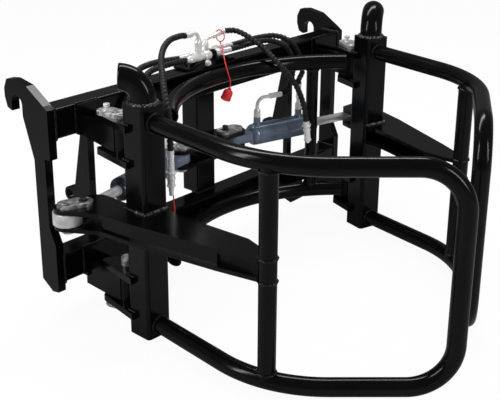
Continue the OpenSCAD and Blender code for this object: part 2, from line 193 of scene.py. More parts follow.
# Supply hoses. Two hydraulic hoses in a black spiral guard leave the swept
# elbows over the upper beam and hang down on the bale side of the frame. Each
# ends in a plated quick coupler that hangs free, as the photograph shows.
HOSE_R = 0.0080
GUARD_PITCH = 0.0115
RIB_H = 0.0018
RING_STEP = 0.0014
left_supply_route = [
    (-0.091, 0.020, 0.626), (-0.118, 0.012, 0.631), (-0.162, 0.000, 0.632), (-0.204, -0.022, 0.627),
    (-0.241, -0.050, 0.618), (-0.277, -0.085, 0.607), (-0.306, -0.120, 0.590), (-0.333, -0.152, 0.573),
    (-0.350, -0.176, 0.552), (-0.359, -0.192, 0.534), (-0.364, -0.201, 0.508), (-0.367, -0.205, 0.476),
    (-0.368, -0.206, 0.442),
]
right_supply_route = [
    (0.083, 0.048, 0.605), (0.118, 0.036, 0.601), (0.135, 0.004, 0.586), (0.146, -0.036, 0.563),
    (0.146, -0.080, 0.536), (0.160, -0.108, 0.506), (0.180, -0.122, 0.473), (0.196, -0.131, 0.437),
    (0.208, -0.137, 0.397), (0.214, -0.140, 0.358),
]


def smooth_path(route, step):
    """Points every step metres along one smooth curve through the route."""
    ends = [Vector(p) for p in route]
    ends = [2 * ends[0] - ends[1]] + ends + [2 * ends[-1] - ends[-2]]
    fine = []
    for a, b, c, d in zip(ends, ends[1:], ends[2:], ends[3:]):
        for k in range(24):
            t = k / 24
            fine.append(0.5 * (2 * b + (c - a) * t + (2 * a - 5 * b + 4 * c - d) * t * t
                               + (3 * b - a - 3 * c + d) * t ** 3))
    fine.append(ends[-2])
    total = sum((q - p).length for p, q in zip(fine, fine[1:]))
    count = max(2, round(total / step))
    path = [fine[0]]
    run = 0.0
    for p, q in zip(fine, fine[1:]):
        gap = (q - p).length
        while run + gap >= len(path) * total / count and len(path) < count:
            path.append(p.lerp(q, (len(path) * total / count - run) / gap))
        run += gap
    path.append(fine[-1])
    return path, total


def piece_from(skin, name):
    """New object in the scene with the mesh that was built in skin."""
    mesh = bpy.data.meshes.new(name)
    skin.to_mesh(mesh)
    skin.free()
    piece = bpy.data.objects.new(name, mesh)
    scene.collection.objects.link(piece)
    return piece


def sweep_tube(name, path, radius_at, sides):
    """Mesh tube along path; radius_at gives the radius for a ring and an angle."""
    skin = bmesh.new()
    rings = []
    side = None
    for i, place in enumerate(path):
        way = (path[min(i + 1, len(path) - 1)] - path[max(i - 1, 0)]).normalized()
        if side is None:
            side = way.orthogonal().normalized()
        side = (side - way * side.dot(way)).normalized()
        up = way.cross(side)
        ring = []
        for k in range(sides):
            angle = 2 * math.pi * k / sides
            r = radius_at(i, angle)
            ring.append(skin.verts.new(place + r * (side * math.cos(angle) + up * math.sin(angle))))
        rings.append(ring)
    for ring, after in zip(rings, rings[1:]):
        for k in range(sides):
            j = (k + 1) % sides
            skin.faces.new((ring[k], ring[j], after[j], after[k]))
    skin.faces.new(list(reversed(rings[0])))
    skin.faces.new(rings[-1])
    for face in skin.faces:
        face.smooth = len(face.verts) == 4
    return piece_from(skin, name)


def paint(piece, material):
    piece.data.materials.clear()
    piece.data.materials.append(material)


def guard_radius(i, angle):
    """Radius of ring i, where a flat rib winds round the hose once in each pitch."""
    phase = (i * RING_STEP / GUARD_PITCH - angle / (2 * math.pi)) % 1.0
    rib = 0.5 - 0.5 * math.cos(2 * math.pi * phase)
    return HOSE_R - RIB_H + RIB_H * min(1.0, 1.7 * rib)


def black_hose_material():
    material, air = new_material("ribbed_hose_guard")
    place = air.node("ShaderNodeTexCoord", {}, {}, "Object")
    cloud = air.node("ShaderNodeTexNoise", {}, {"Vector": place, "Scale": 60.0, "Detail": 4.0})
    tint = ramp(cloud, [(0.35, (0.006, 0.006, 0.0065)), (0.75, (0.016, 0.016, 0.017))])
    grain = air.node("ShaderNodeTexNoise", {}, {"Vector": place, "Scale": 900.0, "Detail": 2.0})
    bump = bumps(grain, 0.15, 0.0004)
    return finish_material(material, air.node("ShaderNodeBsdfPrincipled", {}, {
        "Base Color": tint, "Roughness": 0.40 + cloud * 0.15, "Specular IOR Level": 0.35, "Normal": bump}))


hose_black = black_hose_material()


def supply_hose(name, route):
    path, total = smooth_path(route, RING_STEP)
    hose = sweep_tube(name, path, guard_radius, 18)
    paint(hose, hose_black)
    return hose, path, total


left_supply, left_path, left_length = supply_hose("left_supply_hose_guard", left_supply_route)
right_supply, right_path, right_length = supply_hose("right_supply_hose_guard", right_supply_route)


# Quick couplers. Turned and plated steel: a crimped ferrule, a hexagon, a
# sleeve with a rolled collar and a stepped nose. They hang on the hoses' ends.
def plated_material(name, light, dark, rough, metal=0.9):
    material, air = new_material(name)
    place = air.node("ShaderNodeTexCoord", {}, {}, "Object")
    cloud = air.node("ShaderNodeTexNoise", {}, {"Vector": place, "Scale": 45.0, "Detail": 5.0})
    tint = ramp(cloud, [(0.3, dark), (0.65, light)])
    scratch = air.node("ShaderNodeTexNoise", {}, {"Vector": place, "Scale": 420.0, "Detail": 3.0})
    bump = bumps(scratch, 0.12, 0.0003)
    return finish_material(material, air.node("ShaderNodeBsdfPrincipled", {}, {
        "Base Color": tint, "Metallic": metal, "Roughness": rough + scratch * 0.14, "Normal": bump}))


zinc = plated_material("bright_zinc", (0.98, 0.98, 0.97), (0.80, 0.80, 0.80), 0.14, 0.4)


def deselect():
    bpy.ops.object.select_all(action="DESELECT")


def pick(piece):
    """Selects one piece alone and makes it the active one."""
    deselect()
    piece.select_set(True)
    bpy.context.view_layer.objects.active = piece


def lathe(name, profile, sides=32):
    """Turned piece round Z from (height, radius) pairs, closed at both ends."""
    deselect()
    bpy.ops.mesh.primitive_circle_add(vertices=sides, radius=profile[0][1], fill_type="NGON",
                                      location=(0, 0, profile[0][0]))
    piece = bpy.context.object
    piece.name = name
    bpy.ops.object.transform_apply(location=True, rotation=True, scale=True)
    bpy.ops.object.mode_set(mode="EDIT")
    bpy.ops.mesh.select_all(action="SELECT")
    for (z0, r0), (z1, r1) in zip(profile, profile[1:]):
        bpy.ops.mesh.extrude_region_move(TRANSFORM_OT_translate={"value": (0, 0, z1 - z0)})
        ratio = r1 / r0
        bpy.ops.transform.resize(value=(ratio, ratio, 1), center_override=(0, 0, z1))
    bpy.ops.mesh.select_all(action="SELECT")
    bpy.ops.mesh.normals_make_consistent(inside=False)
    bpy.ops.object.mode_set(mode="OBJECT")
    bpy.ops.object.shade_smooth_by_angle(angle=math.radians(35))
    return piece


def hexagon(name, z0, z1, radius):
    """Hexagon head round Z with chamfered corners, radius across the corners."""
    deselect()
    middle = (0, 0, (z0 + z1) / 2)
    bpy.ops.mesh.primitive_cylinder_add(vertices=6, radius=radius, depth=z1 - z0, location=middle)
    piece = bpy.context.object
    piece.name = name
    bpy.ops.object.transform_apply(location=True, rotation=True, scale=True)
    bevel = piece.modifiers.new("worn_edges", "BEVEL")
    bevel.width = radius * 0.08
    bevel.segments = 2
    bpy.ops.object.modifier_apply(modifier=bevel.name)
    bpy.ops.object.shade_smooth_by_angle(angle=math.radians(25))
    return piece


def join(name, pieces):
    """Makes one object of the pieces, with the first one's place and this name."""
    deselect()
    for piece in pieces:
        piece.select_set(True)
    bpy.context.view_layer.objects.active = pieces[0]
    bpy.ops.object.join()
    pieces[0].name = name
    return pieces[0]


def set_down(piece, place, way=(0, 0, 1), spin=0.0):
    """Turns the piece's Z axis along way and moves it to place, in its mesh."""
    turned = Vector((0, 0, 1)).rotation_difference(Vector(way)).to_matrix().to_4x4()
    piece.data.transform(Matrix.Translation(place) @ turned @ Matrix.Rotation(spin, 4, "Z"))
    return piece


def crimp_profile(z0, z1, radius):
    """Ferrule with six rolled grooves between two plain collars."""
    profile = [(z0, radius * 0.86), (z0 + 0.0012, radius)]
    first = z0 + (z1 - z0) * 0.2
    last = z0 + (z1 - z0) * 0.88
    groove = radius * 0.88
    for k in range(6):
        a = first + (last - first) * k / 6
        b = first + (last - first) * (k + 1) / 6
        profile += [(a, radius), (a + 0.0006, groove), (b - 0.0014, groove), (b - 0.0008, radius)]
    return profile + [(z1 - 0.0012, radius), (z1, radius * 0.86)]


def coupler(name, crimp, sleeve, nose):
    """Coupler that hangs down from the origin: ferrule, hexagon, sleeve, nose."""
    hex_z = -crimp - 0.012
    nose_z = hex_z - sleeve
    end_z = nose_z - nose
    grip_r = 0.0104
    nose_r = 0.0056
    body = lathe("body", [
        (end_z, nose_r * 0.8), (end_z + 0.0010, nose_r), (end_z + nose * 0.30, nose_r),
        (end_z + nose * 0.30 + 0.0010, nose_r * 0.82), (end_z + nose * 0.45, nose_r * 0.82),
        (end_z + nose * 0.45 + 0.0010, nose_r * 1.12), (nose_z - 0.0010, nose_r * 1.12),
        (nose_z, grip_r * 0.84),
        (nose_z + 0.0012, grip_r), (nose_z + 0.0045, grip_r), (nose_z + 0.0055, grip_r * 0.86),
        (hex_z - 0.0085, grip_r * 0.86), (hex_z - 0.0075, grip_r), (hex_z - 0.0050, grip_r * 1.04),
        (hex_z - 0.0030, grip_r), (hex_z, grip_r * 0.9),
    ])
    grip = join("grip", [hexagon("hexagon", hex_z + 0.0065, hex_z + 0.012, 0.0140),
                         lathe("neck", [(hex_z - 0.0005, 0.0092), (hex_z + 0.0068, 0.0092)])])
    ferrule = lathe("ferrule", crimp_profile(-crimp, 0.0, 0.0086))
    piece = join(name, [body, grip, ferrule])
    paint(piece, zinc)
    return piece


left_end = coupler("left_quick_coupler", 0.052, 0.026, 0.022)
set_down(left_end, left_supply_route[-1])
right_end = coupler("right_quick_coupler", 0.010, 0.038, 0.006)
RIGHT_LEAN = math.radians(8.6)
lean = Vector((-math.sin(RIGHT_LEAN), 0, math.cos(RIGHT_LEAN)))
set_down(right_end, right_supply_route[-1], lean)
for hose, end, route, path, length in (
        (left_supply, left_end, left_supply_route, left_path, left_length),
        (right_supply, right_end, right_supply_route, right_path, right_length)):
    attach(hose, "root")
    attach(end, "root")
    path[::6] + [path[-1]]


# Tees and elbows. Forged and plated: each tee has nuts and crimped ends on its
# run and a swivel nut with a swept elbow on its branch.
def crimped_end(place, way, length, radius=0.0078):
    """Crimp from place along way, narrow where it starts."""
    return set_down(lathe("crimp", crimp_profile(0.0, length, radius)), place, way)


def swivel_nut(place, way, length, radius):
    """Hexagon whose far end is turned down to a cone."""
    grip = hexagon("nut", 0.0, length * 0.72, radius)
    cone = lathe("cone", [
        (length * 0.70, radius * 0.86), (length * 0.84, radius * 0.80), (length, radius * 0.60)])
    return set_down(join("swivel_nut", [grip, cone]), place, way, 0.35)


def elbow(points, radius=0.0048):
    path, length = smooth_path(points, 0.002)
    return sweep_tube("elbow", path, lambda i, angle: radius, 20)


def fitting(name, body, pieces):
    """Joins turned pieces into one plated fitting that rides on a body."""
    piece = join(name, pieces)
    paint(piece, zinc)
    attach(piece, body)


left = (-1, 0, 0)
right = (1, 0, 0)
up = (0, 0, 1)
FRONT_TEE = (-0.045, 0.020, 0.560)
REAR_TEE = (0.009, 0.048, 0.560)
tee_body = [(-0.017, 0.0075), (-0.0155, 0.0092), (-0.010, 0.0098), (-0.005, 0.0106), (0.005, 0.0106),
            (0.010, 0.0098), (0.0155, 0.0092), (0.017, 0.0075)]
union = [(0.0, 0.0090), (0.0015, 0.0118), (0.004, 0.0129), (0.020, 0.0129), (0.0235, 0.0118),
         (0.025, 0.0088)]
branch = [(0.006, 0.0072), (0.015, 0.0072), (0.016, 0.0092), (0.024, 0.0092), (0.026, 0.0072)]
front_x, front_y, tee_z = FRONT_TEE
fitting("front_tee", "root", [
    set_down(lathe("body", tee_body), FRONT_TEE, right),
    set_down(lathe("run", [(-0.040, 0.0070), (0.075, 0.0070)]), FRONT_TEE, right),
    swivel_nut((front_x - 0.017, front_y, tee_z), left, 0.021, 0.0112),
    crimped_end((front_x - 0.046, front_y, tee_z), right, 0.013),
    set_down(lathe("union", union), (front_x + 0.017, front_y, tee_z), right),
    swivel_nut((0.021, front_y, tee_z), right, 0.022, 0.0112),
    crimped_end((0.043, front_y, tee_z), right, 0.034),
    set_down(lathe("branch", branch), FRONT_TEE, up),
    swivel_nut((front_x, front_y, tee_z + 0.026), up, 0.025, 0.0102),
    elbow([(front_x, front_y, 0.606), (front_x, front_y, 0.613), (front_x - 0.003, front_y, 0.620),
           (front_x - 0.010, front_y, 0.6255), (front_x - 0.018, front_y, 0.626),
           (front_x - 0.028, front_y, 0.626)]),
    crimped_end((-0.092, front_y, 0.626), right, 0.024, 0.0076),
])
rear_x, rear_y, tee_z = REAR_TEE
rise = Vector((0.045, 0, 0.007))
fitting("rear_tee", "root", [
    set_down(lathe("body", tee_body), REAR_TEE, right),
    set_down(lathe("run", [(-0.072, 0.0070), (0.080, 0.0070)]), REAR_TEE, right),
    swivel_nut((rear_x - 0.036, rear_y, tee_z), left, 0.022, 0.0112),
    crimped_end((rear_x - 0.100, rear_y, tee_z), right, 0.038),
    swivel_nut((rear_x + 0.030, rear_y, tee_z), right, 0.022, 0.0112),
    crimped_end((rear_x + 0.058, rear_y, tee_z), right, 0.046),
    set_down(lathe("branch", [(0.006, 0.0072), (0.009, 0.0078), (0.010, 0.0070)]), REAR_TEE, up),
    swivel_nut((rear_x, rear_y, tee_z + 0.008), up, 0.023, 0.0102),
    elbow([(rear_x, rear_y, 0.587), (rear_x + 0.001, rear_y, 0.5905), (rear_x + 0.006, rear_y, 0.5945),
           (rear_x + 0.014, rear_y, 0.5962), (rear_x + 0.034, rear_y, 0.5990)]),
    crimped_end(Vector((0.039, rear_y, 0.598)), rise, rise.length, 0.0072),
])


# Valve bracket. A strap of plate, bent up to carry both tees over the upper
# beam, and a clamp round the front tee's run with its plated bolt. Powder coat
# in satin black, with a fine orange peel and rubbed patches.
BEAM_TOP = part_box("upper_beam")[1][2]
strap_line = [(-0.098, 0.0030), (-0.082, 0.0030), (-0.076, 0.0045), (-0.070, 0.0095), (-0.064, 0.0122),
              (-0.054, 0.0130), (0.036, 0.0130), (0.046, 0.0122), (0.052, 0.0095), (0.058, 0.0045),
              (0.064, 0.0030), (0.078, 0.0030)]


def black_paint_material():
    material, air = new_material("black_powder_coat")
    place = air.node("ShaderNodeTexCoord", {}, {}, "Object")
    cloud = air.node("ShaderNodeTexNoise", {}, {
        "Vector": place, "Scale": 9.0, "Detail": 6.0, "Roughness": 0.6})
    dust = air.node("ShaderNodeTexNoise", {}, {
        "Vector": place, "Scale": 120.0, "Detail": 5.0, "Roughness": 0.7})
    patch = ramp(dust, [(0.55, (0, 0, 0)), (0.8, (1, 1, 1))])
    tint = ramp(cloud, [(0.3, (0.0012, 0.0013, 0.0015)), (0.8, (0.0028, 0.0029, 0.0033))])
    rubbed = air.node("ShaderNodeMix", {"data_type": "RGBA"},
                      {0: patch * 0.22, 6: tint, 7: (0.012, 0.012, 0.013, 1)}, 2)
    peel = air.node("ShaderNodeTexNoise", {}, {"Vector": place, "Scale": 380.0, "Detail": 1.5})
    bump = bumps(peel, 0.10, 0.0006)
    return finish_material(material, air.node("ShaderNodeBsdfPrincipled", {}, {
        "Base Color": rubbed, "Roughness": 0.13 + cloud * 0.08 + patch * 0.10, "Specular IOR Level": 0.24,
        "Normal": bump}))


black = black_paint_material()


def strap(name, line, y0, y1, thick):
    """Bent plate: the line of (x, height) points is its middle, seen from the front."""
    skin = bmesh.new()
    rows = []
    for k, (x, z) in enumerate(line):
        before = line[max(k - 1, 0)]
        after = line[min(k + 1, len(line) - 1)]
        way = Vector((after[0] - before[0], after[1] - before[1])).normalized() * thick / 2
        rows.append([skin.verts.new((x - way.y * face, y, BEAM_TOP + z + way.x * face))
                     for face, y in ((-1, y0), (-1, y1), (1, y1), (1, y0))])
    for row, after in zip(rows, rows[1:]):
        for k in range(4):
            j = (k + 1) % 4
            skin.faces.new((row[k], row[j], after[j], after[k]))
    skin.faces.new(list(reversed(rows[0])))
    skin.faces.new(rows[-1])
    bmesh.ops.recalc_face_normals(skin, faces=skin.faces[:])
    piece = piece_from(skin, name)
    pick(piece)
    edge = piece.modifiers.new("rounded_edges", "BEVEL")
    edge.width = 0.0008
    edge.segments = 2
    edge.limit_method = "ANGLE"
    bpy.ops.object.modifier_apply(modifier=edge.name)
    bpy.ops.object.shade_smooth_by_angle(angle=math.radians(30))
    return piece


bracket = strap("valve_bracket", strap_line, 0.004, 0.060, 0.006)
clamp = set_down(lathe("clamp", [(0.0, 0.0118), (0.001, 0.0128), (0.0125, 0.0128), (0.0135, 0.0118)]),
                 (0.0005, front_y, tee_z), right)
bracket = join("valve_bracket", [bracket, clamp])
paint(bracket, black)
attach(bracket, "root")
clamp_bolt = join("clamp_bolt", [
    lathe("washer", [(0.0, 0.0082), (0.0005, 0.0088), (0.0018, 0.0088), (0.0022, 0.0082)]),
    hexagon("nut", 0.0020, 0.0080, 0.0076),
    lathe("stud", [(0.0078, 0.0040), (0.0110, 0.0040), (0.0118, 0.0032)]),
])
paint(clamp_bolt, zinc)
set_down(clamp_bolt, (-0.028, 0.0042, BEAM_TOP + 0.0115), (0, -1, 0), 0.2)
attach(clamp_bolt, "root")


# Red dust cap and its cords. Soft moulded plastic: a string whose loop hangs
# over the right elbow, the cap on its end, and a short tail on the left coupler.
STRING_R = 0.0015
LOOP_R = 0.016
LOOP_PLACE = (0.067, 0.048, 0.5945)
string_route = [
    (0.067, 0.048, 0.5785), (0.052, 0.030, 0.574), (0.034, 0.007, 0.565), (0.012, -0.022, 0.545),
    (-0.002, -0.046, 0.522), (0.003, -0.049, 0.500), (0.002, -0.049, 0.480),
]
tail_route = [
    (-0.362, -0.206, 0.330), (-0.361, -0.206, 0.315), (-0.358, -0.205, 0.292), (-0.358, -0.205, 0.262),
]


def red_material():
    material, air = new_material("red_plastic")
    place = air.node("ShaderNodeTexCoord", {}, {}, "Object")
    cloud = air.node("ShaderNodeTexNoise", {}, {"Vector": place, "Scale": 70.0, "Detail": 3.0})
    tint = ramp(cloud, [(0.3, (0.62, 0.012, 0.016)), (0.7, (0.80, 0.030, 0.032))])
    fine = air.node("ShaderNodeTexNoise", {}, {"Vector": place, "Scale": 700.0})
    bump = bumps(fine, 0.08, 0.0002)
    return finish_material(material, air.node("ShaderNodeBsdfPrincipled", {}, {
        "Base Color": tint, "Roughness": 0.28 + cloud * 0.12, "Normal": bump}))


red = red_material()
string_path, string_length = smooth_path(string_route, 0.003)
string = sweep_tube("red_string", string_path, lambda i, angle: STRING_R, 12)
deselect()
bpy.ops.mesh.primitive_torus_add(major_segments=48, minor_segments=12, major_radius=LOOP_R,
                                 minor_radius=STRING_R, location=LOOP_PLACE,
                                 rotation=(0, math.radians(90), 0))
loop = bpy.context.object
loop.name = "red_loop"
bpy.ops.object.transform_apply(location=True, rotation=True, scale=True)
bpy.ops.object.shade_smooth()
cap = lathe("red_dust_cap", [
    (-0.0340, 0.0122), (-0.0330, 0.0138), (-0.0290, 0.0141), (-0.0280, 0.0132), (-0.0140, 0.0130),
    (-0.0100, 0.0122), (-0.0072, 0.0104), (-0.0058, 0.0080), (-0.0050, 0.0056), (-0.0010, 0.0050),
    (0.0, 0.0036),
])
set_down(cap, string_route[-1], (0.249, -0.280, 0.927))
tail_path, tail_length = smooth_path(tail_route, 0.003)
tail = sweep_tube("red_tail", tail_path, lambda i, angle: STRING_R, 12)
for piece in (string, loop, cap, tail):
    paint(piece, red)
    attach(piece, "root")


# Welded frame and arms. Cut plate, square tube and bent round tube, welded and
# then powder coated in the same satin black as the valve bracket.
welded = [
    "upper_beam", "lower_beam", "left_hitch_plate", "right_hitch_plate", "left_inner_plate",
    "right_inner_plate", "centre_post", "clevis_plates", "upper_rest_tube", "lower_rest_tube", "rest_strut",
    "left_upper_bracket", "right_upper_bracket", "left_lower_bracket", "right_lower_bracket",
]
arm_parts = [
    "post", "loop_top", "loop_end", "loop_bottom", "brace", "lever_plates", "lever_web", "hinge_ears",
]
for side in ("left_", "right_"):
    welded += [side + part for part in arm_parts]
for name in welded:
    paint(nodes[name], black)


# Lower rest tube. Round tube bent to the bale, in the same black coat. Its left
# end is cut back, because the photograph shows none of it below the left lever.
REST_CUT = 0.040
rest_tube = bpy.data.objects.new("lower_bent_rest_tube", nodes["lower_rest_tube"].data.copy())
scene.collection.objects.link(rest_tube)
pick(rest_tube)
bpy.ops.object.mode_set(mode="EDIT")
bpy.ops.mesh.select_all(action="SELECT")
cut_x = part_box("lower_rest_tube")[0][0] + REST_CUT
bpy.ops.mesh.bisect(plane_co=(cut_x, 0, 0), plane_no=(1, 0, 0), use_fill=True, clear_inner=True)
bpy.ops.object.mode_set(mode="OBJECT")
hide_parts("lower_rest_tube")
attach(rest_tube, "root")


# Horns. A bent round tube stands on top of each post and turns back over it.
# Its far end is open. Welded on and coated with the arm.
PIVOT = Vector((-0.441, -0.125, 0.0))
REST_ANGLE = {"left": -1.5, "right": 14.5}
POST_OUT = 0.076
HALF_POST = 0.035
POST_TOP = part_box("left_post")[1][2]
HORN_R = 0.030
HORN_BEND = 0.052
DIAGONAL = 0.7071


def arm_point(side, x, y, z):
    """A point of the left arm's own plan, at the arm's place, mirrored for the right arm."""
    angle = math.radians(REST_ANGLE[side])
    turned = (x * math.cos(angle) - y * math.sin(angle), x * math.sin(angle) + y * math.cos(angle), z)
    place = PIVOT + Vector(turned)
    return place if side == "left" else Vector((-place.x, place.y, place.z))


def select_faces(piece, wanted):
    """Selects these faces of the piece's mesh and nothing else in it."""
    for part in (piece.data.vertices, piece.data.edges, piece.data.polygons):
        for item in part:
            item.select = False
    for face in wanted:
        face.select = True


def horn(side):
    """Quarter bend of tube from the post's top, with its far end hollowed."""
    foot = arm_point(side, 0, -POST_OUT, 0)
    away = arm_point(side, -HORN_BEND * DIAGONAL, -POST_OUT + HORN_BEND * DIAGONAL, 0) - foot
    path = [foot + Vector((0, 0, POST_TOP + 0.0005)), foot + Vector((0, 0, POST_TOP + 0.004))]
    for k in range(19):
        angle = math.radians(5 * k)
        height = POST_TOP + 0.008 + HORN_BEND * math.sin(angle)
        path.append(foot + away * (1 - math.cos(angle)) + Vector((0, 0, height)))
    piece = sweep_tube(side + "_bent_horn", path, lambda i, turn: HORN_R, 40)
    pick(piece)
    ends = [face for face in piece.data.polygons if len(face.vertices) > 4]
    select_faces(piece, [face for face in ends if face.center.z > POST_TOP + 0.02][:1])
    bpy.ops.object.mode_set(mode="EDIT")
    bpy.ops.mesh.select_mode(type="FACE")
    bpy.ops.mesh.inset(thickness=0.004)
    inward = -away.normalized() * 0.012
    bpy.ops.mesh.extrude_region_move(TRANSFORM_OT_translate={"value": tuple(inward)})
    bpy.ops.object.mode_set(mode="OBJECT")
    paint(piece, black)
    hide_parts(side + "_horn")
    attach(piece, side + "_arm")


horn("left")
horn("right")


# Flag pins. Round pins with a welded flag plate that a bolt holds, hot dipped
# so that the zinc has set in pale and grey flakes.
def galvanised_material():
    material, air = new_material("galvanised_flakes")
    place = air.node("ShaderNodeTexCoord", {}, {}, "Object")
    flakes = air.node("ShaderNodeTexVoronoi", {"feature": "F1"}, {"Vector": place, "Scale": 150.0}, "Color")
    grey = air.node("ShaderNodeSeparateColor", {}, {"Color": flakes})
    cloud = air.node("ShaderNodeTexNoise", {}, {"Vector": place, "Scale": 40.0, "Detail": 5.0})
    tone = grey * 0.45 + cloud * 0.55
    tint = ramp(tone, [
        (0.25, (0.24, 0.25, 0.26)), (0.5, (0.50, 0.50, 0.50)), (0.72, (0.82, 0.82, 0.81))])
    bump = bumps(tone, 0.2, 0.0006)
    return finish_material(material, air.node("ShaderNodeBsdfPrincipled", {}, {
        "Base Color": tint, "Metallic": 0.75, "Roughness": 0.30 + grey * 0.22, "Normal": bump}))


galvanised = galvanised_material()
for name in ("base_pins", "left_flag_pins", "right_flag_pins"):
    paint(nodes[name], galvanised)


# Weld beads. Rippled fillets where plates and tubes meet, laid before the
# coat, so they are black too, but rougher, and they catch more light. The light
# grey spots in their colour are painted glints.
RIPPLE = 0.0021
RIPPLE_SHAPE = (0.74, 0.96, 1.06, 0.9)
BEAD_R = 0.0032
BEAD_OUT = 0.0006
HORN_BEAD_R = 0.0052
HORN_BEAD_RING = 0.0315
FOOT_BEAD_R = 0.0042
LOOP_HEIGHTS = (0.532, 0.032)
LEVER_FACES = (0.3215, 0.2685)
POST_FOOT = 0.3225
EAR_BOTTOMS = (0.508, 0.424, 0.136, 0.043)
EAR_T = 0.016
BRACE_ENDS = (0.0515, 0.5125)
LOOP_BEAD_RING = 0.0215
BRACE_BEAD_RING = 0.0203
STRUT_BEAD_RING = 0.0168


def bead_run(corners, closed=False):
    """Points one ripple apart along straight lines through the corners."""
    path = [Vector(c) for c in corners]
    if closed:
        path.append(path[0])
    points = []
    for a, b in zip(path, path[1:]):
        count = max(1, round((b - a).length / RIPPLE))
        points += [a.lerp(b, k / count) for k in range(count)]
    if not closed:
        points.append(path[-1])
    return points, closed


def bead_ring(place, radius, across, up):
    """Ring of points round place, in the plane of across and up."""
    across = Vector(across).normalized() * radius
    up = Vector(up).normalized() * radius
    corners = []
    for k in range(48):
        angle = k * math.pi / 24
        corners.append(Vector(place) + across * math.cos(angle) + up * math.sin(angle))
    return bead_run(corners, True)


def weld(name, body, runs, thickness, finish):
    """One object with a rippled bead along each run of points."""
    data = bpy.data.curves.new(name, "CURVE")
    data.dimensions = "3D"
    data.bevel_depth = thickness
    data.bevel_resolution = 2
    data.use_fill_caps = True
    for points, closed in runs:
        spline = data.splines.new("POLY")
        spline.points.add(len(points) - 1)
        for k, (point, place) in enumerate(zip(spline.points, points)):
            point.co = (*place, 1.0)
            point.radius = RIPPLE_SHAPE[k % 4]
        spline.use_cyclic_u = closed
    piece = bpy.data.objects.new(name, data)
    scene.collection.objects.link(piece)
    pick(piece)
    bpy.ops.object.convert(target="MESH")
    bpy.ops.object.shade_smooth()
    paint(piece, finish)
    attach(piece, body)


def bead_material(name, stops):
    material, air = new_material(name)
    place = air.node("ShaderNodeTexCoord", {}, {}, "Object")
    spatter_and_glints = air.node("ShaderNodeTexNoise", {}, {"Vector": place, "Scale": 260.0, "Detail": 4.0})
    # Where the noise is high the bead's colour turns light grey: painted glints, while the same noise also
    # gives the real bumps.
    tint = ramp(spatter_and_glints, stops)
    bump = bumps(spatter_and_glints, 0.5, 0.001)
    return finish_material(material, air.node("ShaderNodeBsdfPrincipled", {}, {
        "Base Color": tint, "Roughness": 0.20 + spatter_and_glints * 0.2, "Specular IOR Level": 0.35, "Normal": bump}))


# Nearly black bead with grey spots that are painted glints.
bead_black = bead_material("coated_weld_painted_glints", [(0.56, (0.003, 0.003, 0.0035)), (0.80, (0.10, 0.10, 0.10))])
# Brighter grey spots for the beads at the horns and the posts' feet: stronger painted glints.
bead_bright = bead_material("weld_brighter_painted_glints", [(0.50, (0.006, 0.006, 0.0065)), (0.68, (0.34, 0.34, 0.34))])


def arm_run(side, corners, z):
    """Bead at one height through corners of the arm's plan."""
    return bead_run([arm_point(side, *corner, z) for corner in corners])


def arm_welds(side):
    """Beads at the horn, the post's foot over the lever, the loop, the ears and the brace."""
    along = arm_point(side, 0, -1, 0) - arm_point(side, 0, 0, 0)
    across = arm_point(side, 1, 0, 0) - arm_point(side, 0, 0, 0)
    near = -POST_OUT - HALF_POST
    far = -POST_OUT + HALF_POST
    edge = HALF_POST + BEAD_OUT
    horn_foot = arm_point(side, 0, -POST_OUT, POST_TOP + 0.001)
    weld(side + "_horn_weld", side + "_arm", [bead_ring(horn_foot, HORN_BEAD_RING, across, along)],
         HORN_BEAD_R, bead_bright)
    foot = [(-HALF_POST - 0.001, -POST_OUT - 0.004), (-HALF_POST - 0.001, near - 0.001),
            (HALF_POST - 0.004, near - 0.001)]
    weld(side + "_post_foot_weld", side + "_arm", [arm_run(side, foot, POST_FOOT)], FOOT_BEAD_R, bead_bright)
    runs = []
    for z in LOOP_HEIGHTS:
        runs.append(bead_ring(arm_point(side, 0, near - 0.0008, z), LOOP_BEAD_RING, across, up))
    for z in LEVER_FACES:
        runs.append(arm_run(side, [(-0.016, far + BEAD_OUT), (-edge, far + BEAD_OUT),
                                   (-edge, near - BEAD_OUT), (HALF_POST, near - BEAD_OUT)], z))
    for low in EAR_BOTTOMS:
        for z in (low, low + EAR_T):
            runs.append(arm_run(side, [(-edge, -POST_OUT + 0.011), (-edge, far + BEAD_OUT),
                                       (edge, far + BEAD_OUT), (edge, -POST_OUT + 0.011)], z))
    brace_low, brace_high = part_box(side + "_brace")
    middle = (brace_low + brace_high) / 2
    for z in BRACE_ENDS + LEVER_FACES:
        runs.append(bead_ring((middle.x, middle.y, z), BRACE_BEAD_RING, (1, 0, 0), (0, 1, 0)))
    weld(side + "_arm_welds", side + "_arm", runs, BEAD_R, bead_black)


arm_welds("left")
arm_welds("right")

